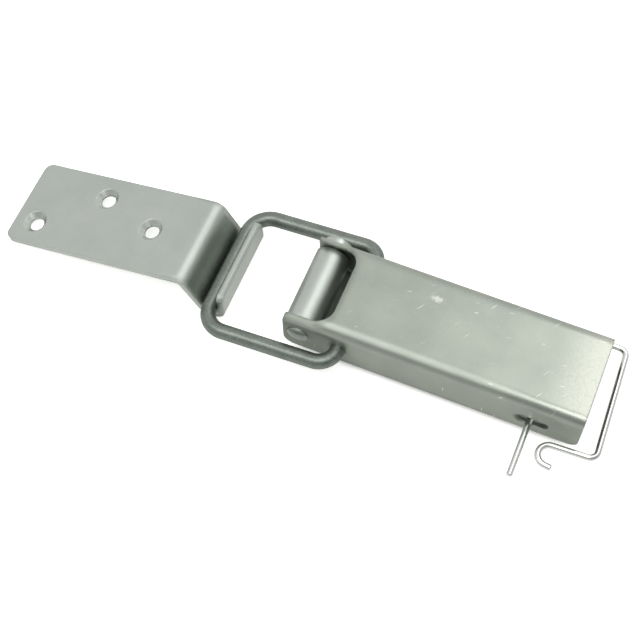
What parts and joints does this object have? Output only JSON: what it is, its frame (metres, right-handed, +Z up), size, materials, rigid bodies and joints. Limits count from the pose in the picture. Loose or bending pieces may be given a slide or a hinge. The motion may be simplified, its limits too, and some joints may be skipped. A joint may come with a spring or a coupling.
{
  "type": "over-centre hasp",
  "caption": "Over-centre hasp: a folded lever on a rolled-knuckle base plate pulls a rod loop hooked in a cranked keeper plate, with a bent-wire safety clip through the lever's slots.",
  "frame": {"origin": "middle of the base plate's screw holes, on its underside", "axes": "+X from the keeper to the lever's free end, along the pull; +Z up off the mounting surface; Y along the pivots"},
  "size_m": [0.2898, 0.0831, 0.0285],
  "materials": {
    "zinc_plate": "zinc-plated steel plate, satin",
    "zinc_sheet": "zinc-plated steel sheet, satin with light handling scratches",
    "zinc_rod": "zinc-plated steel rod, dull",
    "rivet_steel": "zinc-plated steel rivet, domed head and upset end",
    "spring_wire": "bright zinc-plated spring wire"
  },
  "bodies": {
    "base": {"base_plate": "zinc_plate", "keeper": "zinc_plate"},
    "lever": {"lever": "zinc_sheet", "pivot_rivet": "rivet_steel"},
    "loop": {"loop": "zinc_rod"},
    "clip": {"safety_clip": "spring_wire"}
  },
  "joints": [
    {"name": "lever_pivot", "type": "hinge", "parent": "base", "child": "lever", "pos_m": [-0.052, 0, 0.016], "axis": [0, -1, 0], "range_deg": [0, 150]},
    {"name": "loop_pivot", "type": "hinge", "parent": "lever", "child": "loop", "pos_m": [-0.033, 0, 0.015], "axis": [0, -1, 0], "range_deg": [-158, 0]},
    {"name": "clip_swing", "type": "hinge", "parent": "lever", "child": "clip", "pos_m": [0.055, 0, 0.0116], "axis": [0, -1, 0], "range_deg": [-15, 130]}
  ],
  "couplings": [
    {"joint": "loop_pivot", "follows": "lever_pivot", "ratio": -1.05}
  ]
}
